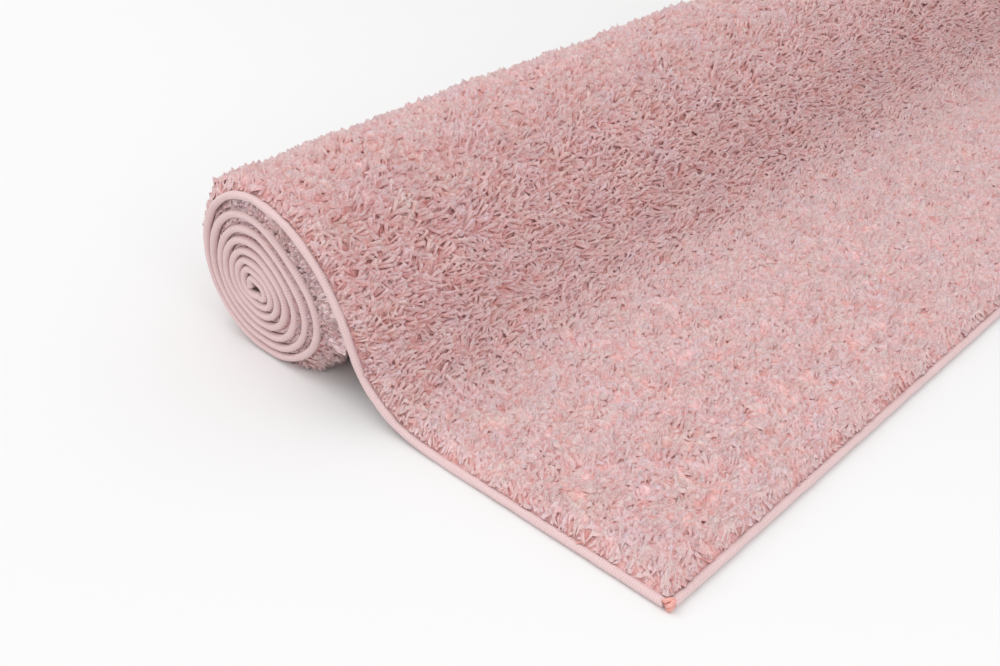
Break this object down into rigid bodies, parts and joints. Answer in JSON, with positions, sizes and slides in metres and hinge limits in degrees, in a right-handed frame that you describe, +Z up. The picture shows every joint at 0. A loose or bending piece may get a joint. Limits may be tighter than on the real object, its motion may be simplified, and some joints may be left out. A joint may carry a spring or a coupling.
{
  "type": "shag rug, partly rolled up",
  "caption": "Shag pile rug, half rolled up with the pile outward, its loose end lying flat; overlocked edges.",
  "frame": {"origin": "middle of the bounding box, on the floor that the rug rests on", "axes": "+X from the roll towards the free end that lies flat, +Y along the roll, +Z up"},
  "size_m": [0.539, 1.6, 0.177],
  "materials": {
    "shag_pile": "matt frieze yarn pile",
    "overlock_yarn": "matt overlocked yarn",
    "tail_yarn": "matt yarn"
  },
  "bodies": {
    "root": {"carpet": "shag_pile", "binding_near": "overlock_yarn", "binding_far": "overlock_yarn", "binding_end": "overlock_yarn", "corner_yarn_tail": "tail_yarn"}
  },
  "joints": []
}
